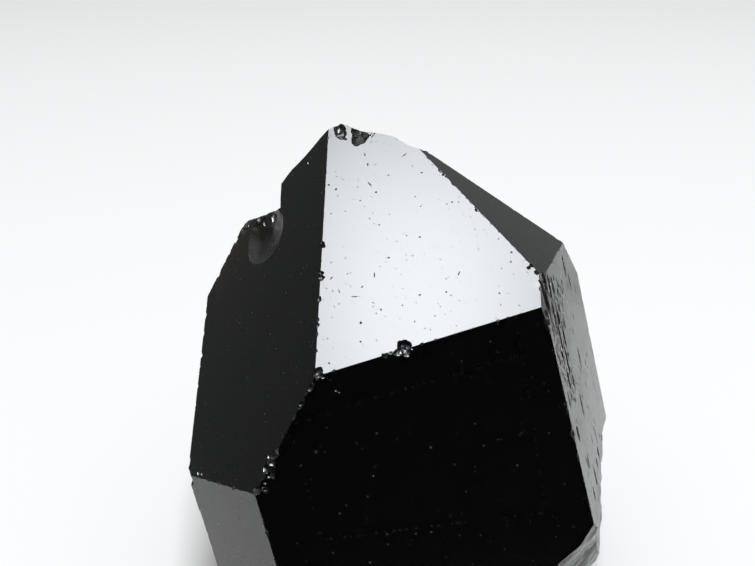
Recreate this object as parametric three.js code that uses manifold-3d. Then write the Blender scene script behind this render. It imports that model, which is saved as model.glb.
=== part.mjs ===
// A raw morion: one smoky, nearly black quartz crystal, broken from its vein and cut flat underneath.
// Six prism sides carry six tip faces; the very tip, one upper edge and the lower right are broken.
// Millimetres. The crystal is shaped upright about its own long axis, with z = 0 at the level where
// the front side meets the front tip face, and is then leaned over onto its flat base.
import * as THREE from 'three';
import { ConvexGeometry } from 'three/addons/geometries/ConvexGeometry.js';
import { ImprovedNoise } from 'three/addons/math/ImprovedNoise.js';
import { mergeVertices } from 'three/addons/utils/BufferGeometryUtils.js';
import Module from 'manifold-3d';

const wasm = await Module();
wasm.setup();

// How the crystal stands: its long axis leans from upright towards this azimuth, after a turn about itself.
const LEAN = 18.9;
const LEAN_AZIMUTH = 140.1;
const TURN = 13.0;
const BASE_DEPTH = 27.5; // from z = 0 on the long axis straight down to the flat base

// Prism sides: azimuth round the long axis, distance from it; 90 degrees is parallel to the axis.
const UPRIGHT = 90;
const FACES = {
  front: { azimuth: -90, polar: UPRIGHT, distance: 14.31 },
  frontLeft: { azimuth: -150, polar: UPRIGHT, distance: 21.39 },
  frontRight: { azimuth: -30, polar: UPRIGHT, distance: 18.33 },
  backLeft: { azimuth: 150, polar: UPRIGHT, distance: 17.27 },
  backRight: { azimuth: 30, polar: 94.5, distance: 20.5 },
  back: { azimuth: 90, polar: UPRIGHT, distance: 14.3 },
};

// Tip faces: quartz sets them all at one angle to the axis; each is placed by where it would meet the axis.
const TIP_POLAR = 51.79;
const TIPS = {
  frontTip: { azimuth: -90, height: 18.17 },
  frontLeftTip: { azimuth: -150, height: 18.52 },
  frontRightTip: { azimuth: -30, height: 25.42 },
  backLeftTip: { azimuth: 150, height: 27.46 },
  backRightTip: { azimuth: 30, height: 23.46 },
  backTip: { azimuth: 90, height: 26.5 },
};
for (const [name, tip] of Object.entries(TIPS)) {
  const distance = tip.height * Math.cos(THREE.MathUtils.degToRad(TIP_POLAR));
  FACES[name] = { azimuth: tip.azimuth, polar: TIP_POLAR, distance };
}

// A slim extra face softens the corner between the front tip face and the front right side.
FACES.cornerFacet = { azimuth: -37.7, polar: 83.5, distance: 18.58 };

// Broken surfaces. Each is a rough plane that takes away what lies outside it.
// "at" is a point on it, "span" its size, "swell" its shell-like waves and "hackle" its roughness.
const BREAKS = {
  tipBack: { azimuth: 13.6, polar: 37.8, at: [4.0, 2.0, 17.75], span: 26, swell: 0.32, hackle: 0.16 },
  tipLeft: { azimuth: 125.4, polar: 34.7, at: [-5.0, 3.9, 15.6], span: 26, swell: 0.3, hackle: 0.12 },
  notchWall: { azimuth: 160.3, polar: 82.0, at: [-4.6, 7.2, 13.2], span: 24, swell: 0.12, hackle: 0.08 },
  notchFloor: { azimuth: 59.2, polar: 20.8, at: [-7.0, 8.2, 11.1], span: 26, swell: 0.25, hackle: 0.22 },
  rightSide: { azimuth: -26.3, polar: 101.7, at: [16.9, -7.1, -20.8], span: 30, swell: 0.12, hackle: 0.16 },
  rightLedge: { azimuth: 150, polar: 176, at: [18.0, -4.0, -18.4], span: 24, swell: 0.1, hackle: 0.25 },
  rightCorner: { azimuth: -57.7, polar: 118.4, at: [13, -14, -22.5], span: 24, swell: 0.08, hackle: 0.06 },
  lowerRight: { azimuth: -63.3, polar: 126.4, at: [10.5, -14.0, -24.0], span: 34, swell: 0.2, hackle: 0.2 },
  underRight: { azimuth: -12.5, polar: 115.4, at: [14.3, -8.5, -28.9], span: 34, swell: 0.3, hackle: 0.3 },
};
const BREAK_CELL = 0.75; // length of one facet on a broken surface
const BREAK_DEPTH = 14; // thickness of what a break takes away

// How closely the relief of a broken surface repeats, per millimetre.
const RELIEF = { waves: 1.15, lumps: 0.22, coarse: 0.8, fine: 1.9 };

const rad = THREE.MathUtils.degToRad;
const noise = new ImprovedNoise();

function normalOf({ azimuth, polar }) {
  const flat = Math.sin(rad(polar));
  const across = [flat * Math.cos(rad(azimuth)), flat * Math.sin(rad(azimuth))];
  return new THREE.Vector3(...across, Math.cos(rad(polar)));
}

// The turn that takes +Z to a direction.
function turnTo(direction) {
  return new THREE.Quaternion().setFromUnitVectors(new THREE.Vector3(0, 0, 1), direction);
}

function planeOf(face) {
  return new THREE.Plane(normalOf(face), -face.distance);
}

// The point that three planes share, or null where two of them are parallel.
function meetingPoint(a, b, c) {
  const rows = new THREE.Matrix3().set(...a.normal, ...b.normal, ...c.normal);
  if (Math.abs(rows.determinant()) < 1e-6) return null;
  return new THREE.Vector3(-a.constant, -b.constant, -c.constant).applyMatrix3(rows.invert());
}

// The corners of the solid that lies inside every plane.
function cornersInside(planes) {
  const corners = [];
  for (let i = 0; i < planes.length; i += 1) {
    for (let j = i + 1; j < planes.length; j += 1) {
      for (let k = j + 1; k < planes.length; k += 1) {
        const corner = meetingPoint(planes[i], planes[j], planes[k]);
        if (corner && planes.every((plane) => plane.distanceToPoint(corner) < 1e-4)) corners.push(corner);
      }
    }
  }
  return corners;
}

function solidOf(geometry) {
  geometry.deleteAttribute('normal');
  geometry.deleteAttribute('uv');
  const merged = mergeVertices(geometry, 1e-4);
  return new wasm.Manifold(new wasm.Mesh({
    numProp: 3,
    vertProperties: new Float32Array(merged.attributes.position.array),
    triVerts: new Uint32Array(merged.index.array),
  }));
}

function geometryOf(solid) {
  const mesh = solid.getMesh();
  const geometry = new THREE.BufferGeometry();
  geometry.setAttribute('position', new THREE.BufferAttribute(mesh.vertProperties, 3));
  geometry.setIndex(new THREE.BufferAttribute(mesh.triVerts, 1));
  geometry.computeVertexNormals();
  return geometry;
}

// Height of a broken surface over its mean plane: shell-like waves round a blow at one side, and hackle.
function brokenHeight(x, y, { swell, hackle, span }, seed) {
  const fromBlow = Math.hypot(x + span * 0.45, y - span * 0.3);
  const waves = Math.sin(fromBlow * RELIEF.waves + seed) * swell * 0.5;
  const relief = (pitch) => noise.noise(x * pitch + seed, y * pitch, seed * 1.7);
  const lumps = relief(RELIEF.lumps) * swell * 2.2;
  return waves + lumps + relief(RELIEF.coarse) * hackle + relief(RELIEF.fine) * hackle * 0.7;
}

// A block whose inner side is the broken surface and which reaches outwards from it.
function breakBlock(name, seed) {
  const spec = BREAKS[name];
  const cells = Math.ceil(spec.span / BREAK_CELL);
  const geometry = new THREE.BoxGeometry(spec.span, spec.span, BREAK_DEPTH, cells, cells, 1);
  geometry.translate(0, 0, BREAK_DEPTH / 2);
  const points = geometry.attributes.position;
  for (let i = 0; i < points.count; i += 1) {
    if (points.getZ(i) > BREAK_DEPTH / 2) continue;
    points.setZ(i, brokenHeight(points.getX(i), points.getY(i), spec, seed));
  }
  geometry.applyQuaternion(turnTo(normalOf(spec)));
  geometry.translate(...spec.at);
  return solidOf(geometry);
}

// A lumpy ball, flattened along one direction, that scoops a shell-shaped chip out of the crystal.
const SCOOP_LUMPS = 1.4; // lumps per radius
function scoop({ at, radius, flat = 1, along = [0, 0, 1], detail = 3, lumpy = 0.28, seed = 0 }) {
  const geometry = new THREE.IcosahedronGeometry(1, detail);
  const points = geometry.attributes.position;
  const point = new THREE.Vector3();
  for (let i = 0; i < points.count; i += 1) {
    point.fromBufferAttribute(points, i);
    const { x, y, z } = point.clone().multiplyScalar(SCOOP_LUMPS);
    point.multiplyScalar(1 + noise.noise(x + seed, y, z + seed * 0.7) * lumpy);
    points.setXYZ(i, point.x * radius, point.y * radius, point.z * radius * flat);
  }
  geometry.applyQuaternion(turnTo(new THREE.Vector3(...along).normalize()));
  geometry.translate(...at);
  return solidOf(geometry);
}

// A point on the edge that two faces share, found by its x or z.
function edgePoint(first, second, axis, value) {
  const a = planeOf(FACES[first]);
  const b = planeOf(FACES[second]);
  const across = new THREE.Vector3(axis === 'x' ? 1 : 0, 0, axis === 'z' ? 1 : 0);
  return meetingPoint(a, b, new THREE.Plane(across, -value));
}

// Chips knocked out of the edges: the two faces, where along their edge, and the size of the chip.
const EDGE_CHIPS = [
  ['front', 'frontTip', 'x', -0.5, 0.62],
  ['front', 'frontTip', 'x', -2.2, 0.3],
  ['front', 'frontTip', 'x', -8.3, 0.42],
  ['front', 'frontLeftTip', 'z', -0.75, 0.4],
  ['front', 'frontLeftTip', 'z', -2.1, 0.42],
  ['front', 'frontLeftTip', 'z', -5.7, 0.5],
  ['front', 'frontLeftTip', 'z', -6.6, 0.62],
  ['front', 'frontLeftTip', 'z', -8.5, 0.5],
  ['frontTip', 'frontLeftTip', 'z', 9.65, 0.32],
  ['frontTip', 'frontLeftTip', 'z', 7.5, 0.26],
  ['frontTip', 'frontRightTip', 'z', 12.5, 0.22],
  ['frontTip', 'frontRightTip', 'z', 8.9, 0.3],
  ['frontTip', 'frontRightTip', 'z', 3.3, 0.26],
  ['front', 'frontRight', 'z', -9.5, 0.3],
  ['front', 'frontRight', 'z', -12.6, 0.42],
  ['frontLeft', 'backLeft', 'z', -9.0, 0.75],
  ['frontLeft', 'backLeft', 'z', -16.5, 0.3],
  ['frontLeftTip', 'backLeft', 'z', 0.6, 0.3],
  ['frontLeftTip', 'backLeftTip', 'z', 7.4, 0.36],
  ['frontLeftTip', 'backLeftTip', 'z', 10.4, 0.5],
  ['frontLeftTip', 'backLeftTip', 'z', 9.3, 0.3],
  ['backLeft', 'backLeftTip', 'x', -17.0, 0.55],
  ['backLeft', 'back', 'z', -6.0, 0.9],
  ['backLeft', 'back', 'z', -15.5, 0.5],
  ['back', 'backTip', 'x', 1.5, 0.6],
  ['back', 'backTip', 'x', 9.0, 0.4],
  ['back', 'backRight', 'z', -4.0, 0.5],
  ['back', 'backRight', 'z', -17.0, 1.0],
  ['backRight', 'backRightTip', 'x', 18.5, 0.5],
  ['frontRight', 'backRight', 'z', -9.0, 0.35],
  ['front', 'frontLeft', 'z', -29.5, 0.8],
  ['frontLeft', 'backLeft', 'z', -25.5, 0.6],
  ['back', 'backLeft', 'z', -22.6, 0.7],
  ['back', 'backRight', 'z', -28.1, 1.0],
];

// Larger scars: three bites in the broken rim of the tip, the wide shell-shaped scar on the front left
// tip face, and four small scoops that leave the crest above it ragged.
const SCARS = [
  { at: [1.25, 0.75, 19.05], radius: 0.62, flat: 0.8, along: [0, -0.79, 0.62] },
  { at: [3.1, 0.35, 18.35], radius: 0.95, flat: 0.75, along: [0.2, -0.7, 0.7] },
  { at: [6.6, -1.0, 16.9], radius: 0.5, flat: 0.7, along: [0.2, -0.7, 0.7] },
  { at: [-12.54, 0.16, 14.36], radius: 6.6, lumpy: 0.05, detail: 16 },
  { at: [-8.6, 3.3, 11.6], radius: 0.95, flat: 0.8, along: [-0.68, -0.39, 0.62] },
  { at: [-9.6, 4.7, 11.7], radius: 0.9, flat: 0.7, along: [-0.4, -0.6, 0.7] },
  { at: [-7.6, 3.0, 12.2], radius: 0.75, flat: 0.7, along: [-0.3, -0.6, 0.74] },
  { at: [-10.6, 6.2, 11.4], radius: 0.8, flat: 0.7, along: [-0.5, -0.3, 0.8] },
];

// Etched grooves in the front right side, each a slim spindle along the crystal: how far back from the
// side's front edge, its height, half its length and half its width.
const GROOVES = [
  [3.9, 0.6, 1.5, 0.34], [5.2, 0.1, 1.2, 0.3], [3.2, -1.6, 1.9, 0.36], [4.6, -2.4, 1.4, 0.3],
  [5.9, -1.9, 1.1, 0.26], [3.6, -4.2, 1.8, 0.36], [5.3, -4.6, 1.5, 0.32], [2.9, -5.9, 1.2, 0.28],
  [4.3, -6.9, 1.9, 0.34], [3.2, -8.4, 1.3, 0.28], [5.0, -9.3, 1.1, 0.26], [6.8, -4.0, 0.9, 0.22],
  [12.6, 0.2, 1.3, 0.3], [13.8, -1.8, 1.0, 0.24], [10.2, -8.8, 1.2, 0.2], [6.4, -12.4, 1.4, 0.24],
];

// Growth ledges on the hidden sides: thin steps across the prism, each down to a height.
const LEDGES = [
  { face: 'back', from: -9.5, deep: 0.16 },
  { face: 'backRight', from: -6.8, deep: 0.2 },
  { face: 'backLeft', from: -12.5, deep: 0.14 },
];

// A chip's ball is wider than the chip and sits mostly outside its edge, so that its scar is shallow.
const CHIP_BALL = 1.5;
const CHIP_OUTWARD = 0.62;
const CHIP_LUMPY = 0.45;
function edgeChip([first, second, axis, value, half], place) {
  const outward = normalOf(FACES[first]).add(normalOf(FACES[second])).normalize();
  const radius = half * CHIP_BALL;
  const at = edgePoint(first, second, axis, value).addScaledVector(outward, radius * CHIP_OUTWARD);
  return scoop({ at, radius, lumpy: CHIP_LUMPY, seed: place * 1.37 });
}

// The unbroken crystal, reaching far enough down for the flat cut to be made later.
const ROOT_DEPTH = 60;
function crystalSolid() {
  const sides = Object.values(FACES).map(planeOf);
  const root = new THREE.Plane(new THREE.Vector3(0, 0, -1), -ROOT_DEPTH);
  return solidOf(new ConvexGeometry(cornersInside([...sides, root])));
}

// Grooves lean a little from the crystal's length and are half as deep as they are wide.
const GROOVE_LEAN = -4;
function groove([back, height, half, wide]) {
  const side = FACES.frontRight.azimuth;
  const along = new THREE.Vector3(-Math.sin(rad(side)), Math.cos(rad(side)), 0);
  const middle = edgePoint('front', 'frontRight', 'z', height).addScaledVector(along, back);
  const geometry = new THREE.IcosahedronGeometry(1, 1);
  geometry.scale(wide * 0.5, wide, half);
  geometry.rotateX(rad(GROOVE_LEAN));
  geometry.rotateZ(rad(side));
  geometry.translate(...middle);
  return solidOf(geometry);
}

// What a ledge takes away: a slab outside the side, from the ledge down past the root.
const SLAB_THICK = 6;
function ledge({ face, from, deep }) {
  const side = FACES[face];
  const slab = new THREE.BoxGeometry(SLAB_THICK, ROOT_DEPTH, ROOT_DEPTH);
  slab.translate(side.distance - deep + SLAB_THICK / 2, 0, from - ROOT_DEPTH / 2);
  slab.rotateZ(rad(side.azimuth));
  return solidOf(slab);
}

function brokenCrystal() {
  const order = Object.keys(BREAKS);
  const block = Object.fromEntries(order.map((name, place) => [name, breakBlock(name, 1.3 + place * 2.17)]));
  const cuts = [
    block.tipBack,
    block.tipLeft,
    block.notchWall.intersect(block.notchFloor),
    block.rightSide.intersect(block.rightLedge),
    block.rightCorner,
    block.lowerRight,
    block.underRight,
    ...SCARS.map((scar, place) => scoop({ ...scar, seed: 4.1 + place })),
    ...GROOVES.map(groove),
    ...LEDGES.map(ledge),
    ...EDGE_CHIPS.map(edgeChip),
  ];
  return cuts.reduce((solid, cut) => solid.subtract(cut), crystalSolid());
}

// Leans the crystal over, cuts it off flat at z = 0 and centres it on the origin.
function standingGeometry() {
  const geometry = geometryOf(brokenCrystal());
  const leanAxis = new THREE.Vector3(-Math.sin(rad(LEAN_AZIMUTH)), Math.cos(rad(LEAN_AZIMUTH)), 0);
  const lean = new THREE.Quaternion().setFromAxisAngle(leanAxis, rad(LEAN));
  const turn = new THREE.Quaternion().setFromAxisAngle(new THREE.Vector3(0, 0, 1), rad(TURN));
  geometry.applyQuaternion(lean.multiply(turn));
  geometry.translate(0, 0, BASE_DEPTH);
  const under = new THREE.BoxGeometry(3 * ROOT_DEPTH, 3 * ROOT_DEPTH, ROOT_DEPTH);
  under.translate(0, 0, -ROOT_DEPTH / 2);
  const standing = geometryOf(solidOf(geometry).subtract(solidOf(under)));
  standing.computeBoundingBox();
  const middle = standing.boundingBox.getCenter(new THREE.Vector3());
  standing.translate(-middle.x, -middle.y, 0);
  return standing;
}

const morion = new THREE.MeshStandardMaterial({ color: 0x14110f, roughness: 0.08, metalness: 0 });
const crystal = new THREE.Mesh(standingGeometry(), morion);
crystal.name = 'crystal';

const part = new THREE.Group();
part.add(crystal);

export default part;
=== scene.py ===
import math
import random

import bmesh
import bpy
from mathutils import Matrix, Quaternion, Vector, noise
from mathutils.bvhtree import BVHTree


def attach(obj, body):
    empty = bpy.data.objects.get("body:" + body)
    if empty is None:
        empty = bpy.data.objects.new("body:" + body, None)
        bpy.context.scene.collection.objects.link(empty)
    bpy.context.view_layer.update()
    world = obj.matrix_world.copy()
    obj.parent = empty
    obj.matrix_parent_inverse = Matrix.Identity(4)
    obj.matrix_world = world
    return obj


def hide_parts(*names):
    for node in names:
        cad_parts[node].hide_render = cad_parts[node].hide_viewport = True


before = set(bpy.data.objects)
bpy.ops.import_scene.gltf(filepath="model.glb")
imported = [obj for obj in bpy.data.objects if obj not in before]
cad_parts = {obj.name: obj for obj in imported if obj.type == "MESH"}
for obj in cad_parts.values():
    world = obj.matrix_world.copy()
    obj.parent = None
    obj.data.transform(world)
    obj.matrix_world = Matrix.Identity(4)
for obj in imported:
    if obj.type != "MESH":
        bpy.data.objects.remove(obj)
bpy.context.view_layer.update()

# ---------------------------------------------------------------------------
# The crystal: its grown faces and its breaks
#
# One raw point of morion, quartz so smoky that it looks black. Its prism and tip faces grew flat and
# glassy. Where it was knocked it broke in shells, with ribs and hackle between them.
# ---------------------------------------------------------------------------

MM = 0.001
WELD = 0.002 * MM
LEAST_FLAT = 3 * MM**2  # a grown face covers at least this much
FLAT_OFF = 0.008 * MM  # and its corners lie this close to its plane
BREAK_CELL = 0.3 * MM  # longest edge wanted on a broken surface
LONGEST_SPLIT = 1.7 * MM  # longer edges belong to the grown faces
CREASE = math.radians(34)  # a sharper fold on a broken surface is a ridge and stays


def lies_on(face, normal, distance):
    """Whether a facet is part of a grown face. Its corners tell, as a thin sliver's normal means little."""
    return all(abs(vert.co.dot(normal) - distance) < FLAT_OFF for vert in face.verts)


def grown_planes(body):
    """The planes of the crystal's flat faces, largest facet first, each as a normal and a distance."""
    planes = []
    for face in sorted(body.faces, key=lambda f: -f.calc_area()):
        if face.calc_area() < LEAST_FLAT / 8:
            break
        if not any(lies_on(face, *plane) for plane in planes):
            planes.append((face.normal.copy(), face.normal.dot(face.verts[0].co)))

    def covers(plane):
        return sum(face.calc_area() for face in body.faces if lies_on(face, *plane))

    return [plane for plane in planes if covers(plane) > LEAST_FLAT]


def mark_faces(body, planes):
    """Numbers each facet by the grown face it lies on, from 1, or 0 on a broken surface."""
    flat = body.faces.layers.int.get("flat") or body.faces.layers.int.new("flat")
    for face in body.faces:
        face[flat] = next((i for i, plane in enumerate(planes, 1) if lies_on(face, *plane)), 0)
    return flat


body = bmesh.new()
body.from_mesh(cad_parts["crystal"].data)
bmesh.ops.remove_doubles(body, verts=body.verts, dist=WELD)
planes = grown_planes(body)
flat = mark_faces(body, planes)

for _ in range(2):
    long_edges = [
        edge
        for edge in body.edges
        if BREAK_CELL < edge.calc_length() < LONGEST_SPLIT and any(f[flat] == 0 for f in edge.link_faces)
    ]
    bmesh.ops.subdivide_edges(body, edges=long_edges, cuts=1, use_single_edge=True)
    wide = [face for face in body.faces if len(face.verts) > 3]
    bmesh.ops.triangulate(body, faces=wide, quad_method="SHORT_EDGE", ngon_method="EAR_CLIP")


def on_ridge(edge):
    """Whether an edge is a rim between a break and a grown face, or a sharp ridge of a break."""
    sides = [face[flat] for face in edge.link_faces]
    if sides[0] != sides[1]:
        return True
    return sides[0] == 0 and edge.calc_face_angle(0) > CREASE


def round_off(body, times):
    """Smooths the broken surfaces between their rims and ridges, and the rims along themselves."""
    broken = [vert for vert in body.verts if any(face[flat] == 0 for face in vert.link_faces)]
    around = {}
    for vert in broken:
        ridges = [edge for edge in vert.link_edges if on_ridge(edge)]
        if not ridges:
            around[vert] = [edge.other_vert(vert) for edge in vert.link_edges]
        elif len(ridges) == 2:
            around[vert] = [edge.other_vert(vert) for edge in ridges]
    for _ in range(times):
        middles = {v: sum((n.co for n in near), Vector()) / len(near) for v, near in around.items()}
        for vert, middle in middles.items():
            vert.co = vert.co.lerp(middle, 0.5)
    return broken


SHELL = 1.5 * MM  # how wide the shells of a break are, the small ones in them, and its hackle
SMALL_SHELL = 0.52 * MM
HACKLE = 0.45 * MM


def shell_depth(point):
    """How far a broken surface sinks at a point: shallow shells, smaller ones in them and fine hackle."""
    shells = noise.voronoi(point / SHELL)[0][0] ** 2 * 0.11
    small_shells = noise.voronoi(point / SMALL_SHELL + Vector((7, 3, 5)))[0][0] ** 2 * 0.05
    hackle = noise.fractal(point / HACKLE, 0.8, 2.1, 4) * 0.03
    return (0.08 - shells - small_shells + hackle) * MM


places = {vert: vert.co.copy() for vert in body.verts}
broken = round_off(body, 5)
body.normal_update()
sunk = {}
for vert in broken:
    step = vert.normal * -shell_depth(vert.co)
    grown_here = [planes[number - 1][0] for number in {face[flat] for face in vert.link_faces} - {0}]
    if len(grown_here) > 2:
        continue
    if len(grown_here) == 2:
        crease = grown_here[0].cross(grown_here[1]).normalized()
        step = crease * step.dot(crease)
    elif grown_here:
        step -= grown_here[0] * step.dot(grown_here[0])
    sunk[vert] = vert.co + step
for vert, place in sunk.items():
    vert.co = Vector((place.x, place.y, max(place.z, 0)))
for _ in range(4):  # a rim that slid over a thin triangle of its grown face goes back
    body.normal_update()
    for face in body.faces:
        if face[flat] and face.normal.dot(planes[face[flat] - 1][0]) < 0:
            for vert in face.verts:
                vert.co = places[vert]
body.normal_update()
# How each facet came about: there from the start, or left by a chip, a flake or a small mark.
GROWN = 1
CHIPPED = 2
FLAKED = 3
MARKED = 4
made_by = body.faces.layers.int.new("made_by")
for face in body.faces:
    face[made_by] = GROWN

# ---------------------------------------------------------------------------
# The crystal: chips, etch marks and pits
#
# Handling nicked its edges, more on the rim of the tip and where two edges meet. Its right side was
# eaten by solution along the growth direction, and all its faces carry small pits.
# ---------------------------------------------------------------------------

draw = random.Random(11)
GROWTH = Vector((-0.2486, 0.2077, 0.9461))  # the crystal's long axis, which the prism faces run along


def ball(rounds):
    """The corners and faces of a unit ball of triangles."""
    shape = bmesh.new()
    bmesh.ops.create_icosphere(shape, subdivisions=rounds, radius=1)
    points = [vert.co.copy() for vert in shape.verts]
    faces = [[vert.index for vert in face.verts] for face in shape.faces]
    shape.free()
    return points, faces


BALLS = {rounds: ball(rounds) for rounds in (1, 2, 3)}


class Cutter:
    """Small lumpy lens shapes, none of which overlap, that are taken out of the crystal together."""

    def __init__(self):
        self.points = []
        self.faces = []
        self.taken = {}
        self.count = 0

    def near(self, point):
        """What has been taken so far in the millimetre cells around a point."""
        x, y, z = (math.floor(c / MM) for c in point)
        for cell in ((x + i, y + j, z + k) for i in (-1, 0, 1) for j in (-1, 0, 1) for k in (-1, 0, 1)):
            yield from self.taken.get(cell, ())

    def add(self, at, radius, outward, lie=None, long=1.0, deep=1.0, lumpy=0.35, rounds=2):
        """Adds one, stretched along `lie` and flattened along `outward`, unless another is in its way."""
        lie = lie or outward.orthogonal()
        side = outward.cross(lie).normalized()
        lie = side.cross(outward)
        steps = max(1, math.ceil(long))
        along = [i * 2 / (steps - 1) - 1 for i in range(steps)] if steps > 1 else [0]
        spine = [at + lie * radius * (long - 1) * part for part in along]
        reach = radius * 1.2
        if any((p - q).length < reach + far for p in spine for q, far in self.near(p)):
            return
        for point in spine:
            self.taken.setdefault(tuple(math.floor(c / MM) for c in point), []).append((point, reach))
        self.count += 1
        seed = self.count * 1.37
        points, faces = BALLS[rounds]
        self.faces += [[corner + len(self.points) for corner in face] for face in faces]
        for point in points:
            lump = 1 + lumpy * noise.noise(point * 1.5 + Vector((seed, 0, seed)))
            place = lie * point.x * long + side * point.y + outward * point.z * deep
            self.points.append(at + place * radius * lump)


def carve(body, cutter, kind):
    """Takes the shapes of a cutter out of the crystal and notes what kind of mark they left."""
    scene = bpy.context.scene
    made = []
    for name in ("carved", "cutter"):
        made.append(bpy.data.objects.new(name, bpy.data.meshes.new(name)))
        scene.collection.objects.link(made[-1])
    carved, tool = made
    body.to_mesh(carved.data)
    tool.data.from_pydata(cutter.points, [], cutter.faces)
    cut = carved.modifiers.new("cut", "BOOLEAN")
    cut.operation = "DIFFERENCE"
    cut.solver = "MANIFOLD"
    cut.object = tool
    result = bpy.data.meshes.new_from_object(carved.evaluated_get(bpy.context.evaluated_depsgraph_get()))
    body.clear()
    body.from_mesh(result)
    made_by = body.faces.layers.int["made_by"]
    for face in body.faces:
        face[made_by] = face[made_by] or kind
    for thing in made:
        old = thing.data
        bpy.data.objects.remove(thing)
        bpy.data.meshes.remove(old)
    bpy.data.meshes.remove(result)


class GrownFace:
    """One grown face and the directions across it and up it, with marks placed on it in millimetres."""

    def __init__(self, *towards):
        self.number = max(range(len(planes)), key=lambda i: planes[i][0].dot(Vector(towards))) + 1
        self.normal, self.distance = planes[self.number - 1]
        self.across = Vector((0, 0, 1)).cross(self.normal).normalized()
        self.up = self.normal.cross(self.across)

    def spot(self, right, up, out=0.0):
        return self.normal * (self.distance + out * MM) + (self.across * right + self.up * up) * MM

    def line(self, degrees):
        angle = math.radians(degrees)
        return self.across * math.cos(angle) + self.up * math.sin(angle)


tip_front = GrownFace(0, -0.62, 0.79)
tip_left = GrownFace(-0.72, -0.41, 0.55)
tip_right = GrownFace(0.57, -0.08, 0.82)
front = GrownFace(0.19, -0.95, 0.26)
side_left = GrownFace(-0.73, -0.69, -0.04)
side_right = GrownFace(0.92, -0.26, 0.3)
corner = GrownFace(0.835, -0.36, 0.42)


def crystal_edges(body):
    """The edges where two grown faces meet: both ends and the two faces' numbers."""
    flat = mark_faces(body, planes)
    edges = []
    for edge in body.edges:
        numbers = [face[flat] for face in edge.link_faces]
        if 0 in numbers or numbers[0] == numbers[1]:
            continue
        edges.append((edge.verts[0].co.copy(), edge.verts[1].co.copy(), *sorted(numbers)))
    return edges


def nick_edges(cutter, edges, spacing, smallest, largest):
    """Nicks along the crystal's edges, mostly small ones, the larger ones rare."""
    for start, end, first, second in edges:
        outward = (planes[first - 1][0] + planes[second - 1][0]).normalized()
        if planes[first - 1][0].angle(planes[second - 1][0]) < math.radians(12):
            continue
        wanted = (end - start).length / spacing
        for _ in range(int(wanted) + (draw.random() < wanted % 1)):
            radius = smallest + (largest - smallest) * draw.random() ** 3
            at = start.lerp(end, draw.random()) + outward * radius * draw.uniform(0.45, 0.8)
            cutter.add(at, radius, outward, (end - start).normalized(), long=draw.uniform(1, 2.2))


def scatter(cutter, body, numbers, per_cm2, smallest, largest):
    """Small pits strewn over some of the grown faces, a few of them larger."""
    mark_faces(body, planes)
    ground = body.copy()
    flat = ground.faces.layers.int["flat"]
    others = [face for face in ground.faces if face[flat] not in numbers]
    bmesh.ops.delete(ground, geom=others, context="FACES")
    bmesh.ops.triangulate(ground, faces=ground.faces)
    for face in ground.faces:
        wanted = face.calc_area() * 1e4 * per_cm2
        p, q, r = (vert.co for vert in face.verts)
        for _ in range(int(wanted) + (draw.random() < wanted % 1)):
            a, b = sorted((draw.random(), draw.random()))
            at = p * a + q * (b - a) + r * (1 - b)
            radius = smallest + (largest - smallest) * draw.random() ** 3
            lie = face.normal.orthogonal()
            lie.rotate(Quaternion(face.normal, draw.uniform(0, 3.1)))
            at = at + face.normal * radius * draw.uniform(0.35, 0.6)
            cutter.add(at, radius, face.normal, lie, long=draw.uniform(1, 1.9), rounds=1)
    ground.free()


# The larger chips, listed one by one: on the lip of the tip, along the long front edge, at its corner,
# down the left edge and on the outline at the upper left.
chips = Cutter()
edge_left = (tip_left.normal + tip_front.normal).normalized()
edge_front = (tip_front.normal + front.normal).normalized()
edge_low_left = (tip_left.normal + front.normal).normalized()
slope = tip_front.normal.cross(front.normal)
chips.add(tip_front.spot(-7.0, 34.1, 0.1), 0.6 * MM, tip_front.normal, tip_front.line(0), long=1.1)
chips.add(tip_front.spot(-5.1, 33.65, 0.2), 0.95 * MM, tip_front.normal, tip_front.line(110), deep=1.1)
chips.add(tip_front.spot(-0.3, 33.25, 0.12), 0.36 * MM, tip_front.normal, tip_front.line(-22), long=2.6)
chips.add(Vector((-17.0, 9.47, 35.82)) * MM, 0.8 * MM, tip_left.normal, rounds=3)
chips.add(tip_front.spot(-0.95, 11.35, 0.1), 0.7 * MM, edge_front, slope, deep=0.9, rounds=3)
chips.add(tip_front.spot(-8.45, 21.5, 0.1), 0.36 * MM, edge_left, deep=0.8, rounds=3)
chips.add(tip_front.spot(-8.45, 18.2, 0.1), 0.38 * MM, edge_left, deep=0.8, rounds=3)
chips.add(tip_front.spot(-8.7, 13.4, 0.12), 0.3 * MM, edge_left, rounds=3)
chips.add(tip_front.spot(-8.5, 8.9, 0.1), 0.42 * MM, edge_front, long=1.4)
chips.add(front.spot(-12.5, 23.5, 0.1), 0.28 * MM, edge_low_left, long=1.5)
for right, up, radius in (
    (-15.2, 19.2, 0.34),
    (-15.7, 18.2, 0.45),
    (-15.3, 17.3, 0.25),
    (-16.0, 16.1, 0.3),
):
    chips.add(front.spot(right, up, 0.1), radius * MM, edge_low_left, rounds=3)
edge_right = (tip_front.normal + tip_right.normal).normalized()
for right, up, radius in (
    (11.2, 18.7, 0.3),
    (9.7, 21.0, 0.22),
    (6.6, 25.0, 0.25),
    (5.5, 26.5, 0.3),
    (3.2, 29.5, 0.3),
):
    chips.add(tip_front.spot(right, up, 0.12), radius * MM, edge_right)
edge_low_right = (front.normal + side_right.normal).normalized()
for right, up, radius in ((12.35, 20.9, 0.3), (13.3, 18.0, 0.3), (12.0, 23.5, 0.2)):
    chips.add(front.spot(right, up, 0.1), radius * MM, edge_low_right, long=1.4)
carve(body, chips, CHIPPED)

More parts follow.
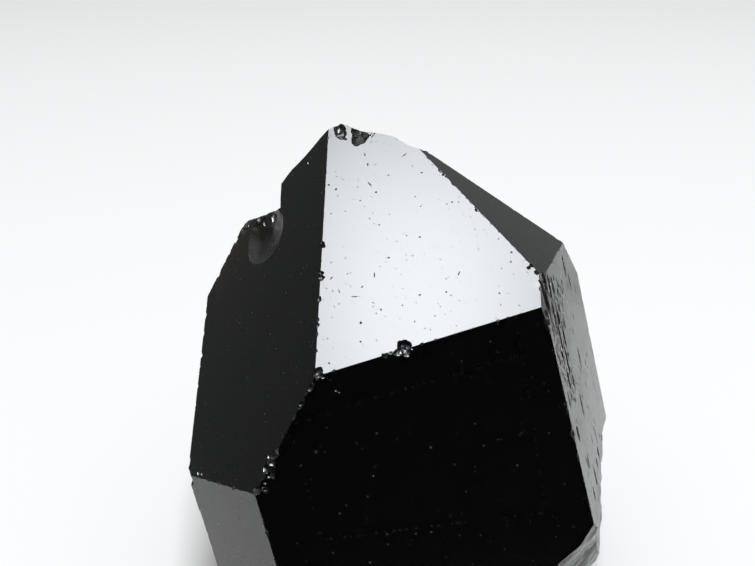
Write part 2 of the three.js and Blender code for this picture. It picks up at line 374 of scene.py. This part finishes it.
# Flakes with a flat floor: in the notch, on the lip, in the cluster low on the left edge, at the front
# corner, in the long edge's chip and two specks. Each floor is turned to mirror the overhead light into this
# scene's camera, so they glint from there and hardly from elsewhere. Nothing on the real piece gives it.
flakes = Cutter()
skin = BVHTree.FromBMesh(body)
for x, y, z, radius, long, degrees in (
    (-13.9, 7.3, 36.4, 0.3, 1.7, 65),
    (-14.9, 7.8, 35.7, 0.26, 1.3, 20),
    (-15.5, 8.3, 35.9, 0.22, 1.2, 50),
    (-16.7, 9.1, 35.0, 0.15, 1.2, 0),
    (-10.2, 7.6, 42.3, 0.14, 1.0, 0),
    (-12.9, -14.3, 22.5, 0.24, 1.2, 20),
    (-12.5, -14.5, 22.9, 0.16, 1.0, 80),
    (-12.6, -14.8, 22.1, 0.26, 1.0, 0),
    (-13.3, -14.9, 21.6, 0.24, 1.4, 140),
    (-12.9, -15.1, 21.1, 0.15, 1.0, 0),
    (-13.4, -15.6, 20.2, 0.2, 1.2, 30),
    (-13.2, -15.4, 20.6, 0.13, 1.0, 0),
    (-10.1, -13.0, 27.0, 0.15, 1.4, 60),
    (-8.5, -12.0, 29.3, 0.17, 1.0, 0),
    (-8.1, -12.1, 29.3, 0.14, 1.3, 45),
    (-7.0, -12.3, 28.1, 0.12, 1.0, 0),
    (-6.7, -12.3, 27.9, 0.09, 1.0, 0),
    (-3.9, -12.9, 19.9, 0.09, 1.0, 0),
    (-1.0, -10.3, 31.0, 0.2, 1.5, 30),
    (-0.5, -10.2, 31.1, 0.16, 1.5, 120),
    (15.0, -7.9, 22.3, 0.15, 1.3, 70),
    (-20.4, -8.8, 16.8, 0.25, 1.5, 0),
    (-19.9, -9.2, 17.0, 0.15, 1.5, 0),
):
    at = skin.find_nearest(Vector((x, y, z)) * MM)[0]
    outward = Vector((-0.0075 * x, -0.3 - 0.0144 * z, 1)).normalized()
    flakes.add(at, radius * 1.15 * MM, outward, tip_front.line(degrees), long=long, deep=0.2, lumpy=0.12)
at = tip_front.spot(-6.95, 33.6, 0.0)
flakes.add(at, 0.28 * MM, tip_front.normal, tip_front.line(-25), long=2.2, deep=0.5)
at = tip_front.spot(-5.45, 33.05, 0.1)
flakes.add(at, 0.5 * MM, tip_front.normal, tip_front.line(110), long=1.2)
STREAK = 0.08 * MM
for right, up, half, degrees in ((-4.2, 33.7, 0.6, 55), (-3.95, 33.85, 0.55, 50), (-3.7, 34.0, 0.5, 55)):
    at = tip_front.spot(right, up, 0.02)
    flakes.add(at, STREAK, tip_front.normal, tip_front.line(degrees), long=half * MM / STREAK, lumpy=0.7)
carve(body, flakes, FLAKED)

# What solution ate out of the right side: gouges along the narrow corner and dashes along the growth
# direction, thickest near the front edge and at the top, thinning out down the face.
groove = {"long": 2.2, "deep": 1.4, "lumpy": 0.6, "rounds": 3}


def corner_spot(across, along):
    """A place on the narrow corner facet, from its middle."""
    return corner.spot(0.4 + across * 0.92 - along * 0.72, 25.7 - across * 0.4 - along * 0.7, 0.05)


trough = Cutter()
trough.add(corner_spot(0.2, 1.1), 0.5 * MM, corner.normal, GROWTH, long=5, deep=1.3, lumpy=0.5, rounds=3)
carve(body, trough, MARKED)
gouges = Cutter()
for across, along, radius in (
    (-0.1, -0.9, 0.4),
    (0.8, -0.3, 0.4),
    (0.1, 1.2, 0.42),
    (0.8, 1.6, 0.3),
    (0.3, 3.2, 0.36),
):
    gouges.add(corner_spot(across, along), radius * MM, corner.normal, GROWTH, **groove)
FRONT_EDGE = ((1.3, 29.2), (-2.3, 27.3), (-3.5, 25.4), (-3.5, 20.6), (-3.5, 18.2))


def edge_band(down, share):
    """A place on the right face, from its front edge inwards and from its top downwards."""
    step = min(3, int(down * 4))
    (u, v), (next_u, next_v) = FRONT_EDGE[step], FRONT_EDGE[step + 1]
    part = down * 4 - step
    width = 6.5 - 3.6 * down * down
    right = u + (next_u - u) * part + share * width * 0.89
    return side_right.spot(right, v + (next_v - v) * part - share * width * 0.46, 0.04)


for _ in range(420):
    radius = draw.uniform(0.1, 0.3) * MM
    lie = (GROWTH + side_right.across * draw.uniform(-0.3, 0.3)).normalized()
    at = edge_band(draw.random(), draw.random())
    gouges.add(at, radius, side_right.normal, lie, long=draw.uniform(1.3, 3.6), deep=1.4, lumpy=0.9)
for _ in range(60):
    radius = draw.uniform(0.05, 0.14) * MM
    at = side_right.spot(draw.uniform(-4, 13), draw.uniform(6, 26), 0.03)
    gouges.add(at, radius, side_right.normal, GROWTH, long=draw.uniform(2, 6), deep=1.2, lumpy=0.9)
carve(body, gouges, MARKED)
dashes = Cutter()
for across, along, radius in (
    (0.3, -0.2, 0.36),
    (0.75, 0.7, 0.36),
    (-0.3, 0.4, 0.3),
    (0.0, 2.4, 0.36),
    (0.6, 2.6, 0.3),
):
    dashes.add(corner_spot(across, along), radius * MM, corner.normal, GROWTH, **groove)
for _ in range(220):
    radius = draw.uniform(0.05, 0.14) * MM
    at = edge_band(draw.random(), draw.random())
    dashes.add(at, radius, side_right.normal, GROWTH, long=draw.uniform(1.5, 4), deep=1.4, lumpy=0.9)
for right, up, radius, long in (
    (-3.4, 14.8, 0.45, 1.8),
    (-2.3, 10.8, 0.25, 2.5),
    (-2.9, 11.3, 0.2, 2.5),
    (3.0, 8.5, 0.28, 3.0),
    (1.3, 8.3, 0.22, 3.0),
    (-0.9, 8.0, 0.3, 3.0),
    (-3.2, 7.9, 0.26, 3.0),
    (6.5, 7.5, 0.3, 3.0),
):
    at = side_right.spot(right, up, 0.05)
    dashes.add(at, radius * MM, side_right.normal, GROWTH, long=long, deep=1.4, lumpy=0.9)
scatter(dashes, body, {corner.number}, 900, 0.06 * MM, 0.16 * MM)
carve(body, dashes, MARKED)

# Small marks on the large front face of the tip, short strokes and dots, then nicks and pits all over.
marks = Cutter()
STROKE = 0.07 * MM
for right, up, half, degrees in (
    (-0.8, 31.5, 0.33, 40),
    (-4.1, 28.2, 0.38, 130),
    (-3.2, 23.7, 0.16, 0),
    (-4.6, 31.6, 0.2, 90),
    (-4.3, 30.4, 0.2, 90),
    (-3.6, 18.4, 0.27, 90),
    (-7.5, 18.1, 0.2, 60),
    (-6.8, 16.8, 0.2, 110),
    (-5.4, 16.2, 0.3, 0),
    (-4.7, 17.2, 0.15, 45),
    (4.1, 18.6, 0.25, 70),
):
    at = tip_front.spot(right, up, 0.02)
    marks.add(at, STROKE, tip_front.normal, tip_front.line(degrees), long=half * MM / STROKE, lumpy=0.7)
for right, up, radius in (
    (-3.5, 27.3, 0.12),
    (-2.3, 29.2, 0.1),
    (0.9, 29.5, 0.12),
    (-8.0, 28.1, 0.13),
    (-7.3, 27.6, 0.13),
    (0.6, 22.4, 0.12),
    (3.7, 26.2, 0.12),
    (4.3, 26.2, 0.1),
    (3.2, 26.0, 0.1),
    (2.9, 16.7, 0.12),
    (7.7, 16.6, 0.12),
    (9.0, 20.8, 0.15),
    (8.9, 19.8, 0.12),
    (10.5, 19.2, 0.26),
    (7.9, 22.2, 0.1),
    (-4.8, 13.6, 0.16),
    (-4.8, 11.8, 0.12),
    (-3.0, 14.9, 0.12),
    (-7.6, 19.7, 0.1),
    (-2.3, 20.2, 0.12),
    (-0.1, 20.4, 0.1),
    (0.5, 16.4, 0.14),
):
    marks.add(tip_front.spot(right, up, 0.04), radius * 0.85 * MM, tip_front.normal, lumpy=0.6)
edges = crystal_edges(body)
ragged = [edge for edge in edges if {edge[2], edge[3]} == {tip_front.number, tip_right.number}]
nick_edges(marks, ragged, 0.4 * MM, 0.15 * MM, 0.4 * MM)
nick_edges(marks, edges, 0.8 * MM, 0.07 * MM, 0.34 * MM)
scatter(marks, body, {tip_front.number}, 160, 0.015 * MM, 0.075 * MM)
scatter(marks, body, {tip_left.number, side_left.number}, 25, 0.03 * MM, 0.13 * MM)
scatter(marks, body, {front.number}, 10, 0.03 * MM, 0.12 * MM)
scatter(marks, body, set(range(1, len(planes) + 1)), 5, 0.03 * MM, 0.13 * MM)
carve(body, marks, MARKED)

# How much each facet is dulled, in patches (etched) and evenly (rubbed). Grown faces shade as one plane.
flat = mark_faces(body, planes)
ETCHED = {
    side_right.number: 1.0,
    corner.number: 1.0,
    side_left.number: 0.25,
    front.number: 0,
    tip_front.number: 0,
}
ETCHED_ELSEWHERE = 0.1
ETCHED_BREAKS = 0.3
RUBBED = {GROWN: 0.5, CHIPPED: 0.95, FLAKED: 0.3, MARKED: 0.95}
RUBBED_TIP = 0.87
mesh = bpy.data.meshes.new("morion_crystal")
for face in body.faces:
    face.smooth = True
for edge in body.edges:
    edge.smooth = not on_ridge(edge)
body.to_mesh(mesh)
made_by = body.faces.layers.int["made_by"]
etches = []
rubs = []
normals = []
for face in body.faces:
    if face[flat] == 0:
        etches.append(ETCHED_BREAKS)
        rubs.append(RUBBED[face[made_by]])
        normals += [(0, 0, 0)] * len(face.verts)  # leaves them as they are
    else:
        etches.append(ETCHED.get(face[flat], ETCHED_ELSEWHERE))
        rubs.append(RUBBED_TIP if face[flat] == tip_front.number else 0)
        normals += [planes[face[flat] - 1][0]] * len(face.verts)
for name, values in (("etched", etches), ("rubbed", rubs)):
    mesh.attributes.new(name, "FLOAT", "FACE").data.foreach_set("value", values)
mesh.normals_split_custom_set(normals)
body.free()
crystal = bpy.data.objects.new("morion_crystal", mesh)
bpy.context.scene.collection.objects.link(crystal)


# ---------------------------------------------------------------------------
# The crystal: its surface and its substance
#
# Clear quartz, stained brown all through by natural radiation. Grown faces are glassy, and the right side
# is dulled where it was etched. The large tip face, the chips and the small marks are duller than is known
# of the real ones: the denoiser wipes small marks away on a glassier surface.
# ---------------------------------------------------------------------------


def value_group(name, takes, gives):
    """An empty node group with named inputs and outputs."""
    tree = bpy.data.node_groups.new(name, "ShaderNodeTree")
    for label, kind in takes.items():
        tree.interface.new_socket(label, in_out="INPUT", socket_type=kind)
    for label, kind in gives.items():
        tree.interface.new_socket(label, in_out="OUTPUT", socket_type=kind)
    return tree, tree.nodes.new("NodeGroupInput"), tree.nodes.new("NodeGroupOutput")


def math_node(tree, operation, first, second):
    """A maths node fed by sockets or plain numbers."""
    node = tree.nodes.new("ShaderNodeMath")
    node.operation = operation
    for socket, value in zip(node.inputs, (first, second)):
        if isinstance(value, (int, float)):
            socket.default_value = value
        else:
            tree.links.new(value, socket)
    return node.outputs[0]


def noise_of(tree, vector, scale, detail):
    """A noise value around one half."""
    node = tree.nodes.new("ShaderNodeTexNoise")
    node.inputs["Detail"].default_value = detail
    tree.links.new(vector, node.inputs["Vector"])
    tree.links.new(scale, node.inputs["Scale"])
    return node.outputs["Fac"]


def ramp(tree, value, low, high):
    """A value stretched so that low becomes 0 and high becomes 1."""
    node = tree.nodes.new("ShaderNodeMapRange")
    node.interpolation_type = "SMOOTHSTEP"
    node.inputs["From Min"].default_value = low
    node.inputs["From Max"].default_value = high
    tree.links.new(value, node.inputs["Value"])
    return node.outputs[0]


# Growth lines: soft streaks that run along the prism, as a height.
lines, given, result = value_group(
    "growth_lines",
    {"Vector": "NodeSocketVector", "Scale": "NodeSocketFloat"},
    {"Height": "NodeSocketFloat"},
)
upright = lines.nodes.new("ShaderNodeMapping")
upright.inputs["Rotation"].default_value = GROWTH.rotation_difference(Vector((0, 0, 1))).to_euler()
lines.links.new(given.outputs["Vector"], upright.inputs["Vector"])
squeeze = lines.nodes.new("ShaderNodeVectorMath")
squeeze.operation = "MULTIPLY"
squeeze.inputs[1].default_value = (1, 1, 0.08)
lines.links.new(upright.outputs[0], squeeze.inputs[0])
lines.links.new(noise_of(lines, squeeze.outputs[0], given.outputs["Scale"], 4), result.inputs["Height"])

# Fine pits: sparse round dots far too small to carve, as a mask.
pits, given, result = value_group(
    "fine_pits",
    {"Vector": "NodeSocketVector", "Scale": "NodeSocketFloat", "Share": "NodeSocketFloat"},
    {"Pits": "NodeSocketFloat"},
)
cells = pits.nodes.new("ShaderNodeTexVoronoi")
pits.links.new(given.outputs["Vector"], cells.inputs["Vector"])
pits.links.new(given.outputs["Scale"], cells.inputs["Scale"])
chosen = math_node(pits, "LESS_THAN", cells.outputs["Color"], given.outputs["Share"])
dot = ramp(pits, cells.outputs["Distance"], 0.3, 0.12)
pits.links.new(math_node(pits, "MULTIPLY", dot, chosen), result.inputs["Pits"])

# Satin: how rough the surface is, glassy, evenly rubbed, or dulled in patches where it was etched.
satin, given, result = value_group(
    "satin",
    {
        "Vector": "NodeSocketVector",
        "Etched": "NodeSocketFloat",
        "Rubbed": "NodeSocketFloat",
        "Scale": "NodeSocketFloat",
    },
    {"Roughness": "NodeSocketFloat"},
)
patches = ramp(satin, noise_of(satin, given.outputs["Vector"], given.outputs["Scale"], 5), 0.35, 0.7)
axes = satin.nodes.new("ShaderNodeSeparateXYZ")
satin.links.new(given.outputs["Vector"], axes.inputs[0])
higher = ramp(satin, axes.outputs["Z"], 4 * MM, 36 * MM)
patchy = math_node(satin, "MULTIPLY", patches, 0.08)
uneven = math_node(satin, "ADD", patchy, math_node(satin, "MULTIPLY", higher, 0.2))
rough = math_node(satin, "MULTIPLY", uneven, given.outputs["Etched"])
even = math_node(satin, "ADD", math_node(satin, "MULTIPLY", given.outputs["Rubbed"], 0.25), 0.07)
satin.links.new(math_node(satin, "ADD", rough, even), result.inputs["Roughness"])

# Its substance: clear quartz darkened through and through, so that only thin splinters let light pass.
morion = bpy.data.materials.new("morion")
morion.use_nodes = True
nodes = morion.node_tree.nodes
links = morion.node_tree.links
nodes.clear()
surface = nodes.new("ShaderNodeBsdfPrincipled")
surface.inputs["Base Color"].default_value = (1, 1, 1, 1)
surface.inputs["IOR"].default_value = 1.544
surface.inputs["Transmission Weight"].default_value = 1.0
smoke = nodes.new("ShaderNodeVolumeAbsorption")
smoke.inputs["Color"].default_value = (0.55, 0.51, 0.415, 1)
smoke.inputs["Density"].default_value = 1150
place = nodes.new("ShaderNodeTexCoord").outputs["Object"]
etched_here = nodes.new("ShaderNodeAttribute")
etched_here.attribute_name = "etched"
rubbed_here = nodes.new("ShaderNodeAttribute")
rubbed_here.attribute_name = "rubbed"
used = {}
settings = ((lines, {"Scale": 2600}), (pits, {"Scale": 5200, "Share": 0.06}), (satin, {"Scale": 260}))
for tree, values in settings:
    used[tree.name] = nodes.new("ShaderNodeGroup")
    used[tree.name].node_tree = tree
    links.new(place, used[tree.name].inputs["Vector"])
    for label, value in values.items():
        used[tree.name].inputs[label].default_value = value
links.new(etched_here.outputs["Fac"], used["satin"].inputs["Etched"])
links.new(rubbed_here.outputs["Fac"], used["satin"].inputs["Rubbed"])
links.new(used["satin"].outputs["Roughness"], surface.inputs["Roughness"])
here = morion.node_tree
streaks = math_node(here, "MULTIPLY", used["growth_lines"].outputs["Height"], etched_here.outputs["Fac"])
dots = math_node(here, "MULTIPLY", used["fine_pits"].outputs["Pits"], -0.4)
relief = nodes.new("ShaderNodeBump")
relief.inputs["Distance"].default_value = 0.02 * MM
links.new(math_node(here, "ADD", streaks, dots), relief.inputs["Height"])
links.new(relief.outputs[0], surface.inputs["Normal"])
out = nodes.new("ShaderNodeOutputMaterial")
links.new(surface.outputs[0], out.inputs["Surface"])
links.new(smoke.outputs[0], out.inputs["Volume"])
crystal.data.materials.append(morion)
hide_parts("crystal")
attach(crystal, "root")

# ---------------------------------------------------------------------------
# The studio
#
# A floor that the strong light brings near to white, one soft light overhead that the large tip face
# mirrors, and a sky that is dim low in front and brighter behind and overhead. A dark card in front is seen
# in reflections alone: it blackens the front face, and the camera and the shadows don't show it.
# ---------------------------------------------------------------------------

bpy.context.scene.view_settings.view_transform = "Standard"


def plane(name, width, depth, at, material):
    mesh = bpy.data.meshes.new(name)
    x, y = width / 2, depth / 2
    mesh.from_pydata([(-x, -y, 0), (x, -y, 0), (x, y, 0), (-x, y, 0)], [], [(0, 1, 2, 3)])
    mesh.materials.append(material)
    made = bpy.data.objects.new(name, mesh)
    made.location = at
    bpy.context.scene.collection.objects.link(made)
    return made


def matt(name, colour):
    material = bpy.data.materials.new(name)
    material.use_nodes = True
    shader = material.node_tree.nodes["Principled BSDF"]
    shader.inputs["Base Color"].default_value = colour
    shader.inputs["Roughness"].default_value = 0.95
    shader.inputs["Specular IOR Level"].default_value = 0.05
    return material


floor = plane("floor", 3, 3, (0, 0, -0.02 * MM), matt("pale_floor", (0.575, 0.562, 0.549, 1)))
dark = matt("dark_card", (0.07, 0.07, 0.07, 1))
card = plane("dark_card", 240 * MM, 60 * MM, (40 * MM, -48 * MM, 30 * MM), dark)
card.rotation_euler = (math.radians(90), 0, 0)
card.visible_camera = False
card.visible_diffuse = False
card.visible_shadow = False

softbox_data = bpy.data.lights.new("softbox", "AREA")
softbox_data.shape = "RECTANGLE"
softbox_data.size = 330 * MM
softbox_data.size_y = 440 * MM
softbox_data.energy = 10.8
softbox_data.spread = math.radians(160)
softbox_data.color = (0.925, 0.958, 1.0)
softbox = bpy.data.objects.new("softbox", softbox_data)
softbox.location = (41 * MM, -225 * MM, 1000 * MM)
softbox.rotation_euler = (math.radians(17), 0, 0)
bpy.context.scene.collection.objects.link(softbox)

world = bpy.data.worlds.new("studio")
world.use_nodes = True
bpy.context.scene.world = world
sky = world.node_tree
sky.nodes["Background"].inputs["Color"].default_value = (0.96, 0.99, 1, 1)
towards = sky.nodes.new("ShaderNodeSeparateXYZ")
sky.links.new(sky.nodes.new("ShaderNodeTexCoord").outputs["Generated"], towards.inputs[0])
behind = sky.nodes.new("ShaderNodeMapRange")
behind.inputs["From Min"].default_value = -1
behind.inputs["From Max"].default_value = 1
sky.links.new(towards.outputs["Y"], behind.inputs["Value"])
wall = math_node(sky, "MULTIPLY", math_node(sky, "POWER", behind.outputs[0], 2), 0.32)
overhead = sky.nodes.new("ShaderNodeMapRange")
overhead.interpolation_type = "SMOOTHSTEP"
overhead.inputs["From Min"].default_value = 0.3
overhead.inputs["From Max"].default_value = 0.75
overhead.inputs["To Max"].default_value = 0.66
sky.links.new(towards.outputs["Z"], overhead.inputs["Value"])
strength = math_node(sky, "ADD", math_node(sky, "ADD", wall, 0.03), overhead.outputs[0])
sky.links.new(strength, sky.nodes["Background"].inputs["Strength"])

camera_data = bpy.data.cameras.new("camera")
camera_data.lens = 48.41
camera_data.sensor_width = 36
camera_data.clip_start = 5 * MM
camera = bpy.data.objects.new("camera", camera_data)
camera.location = (-3.34 * MM, -88.59 * MM, 74.06 * MM)
camera.rotation_euler = (math.radians(65), 0, 0)
bpy.context.scene.collection.objects.link(camera)
bpy.context.scene.camera = camera
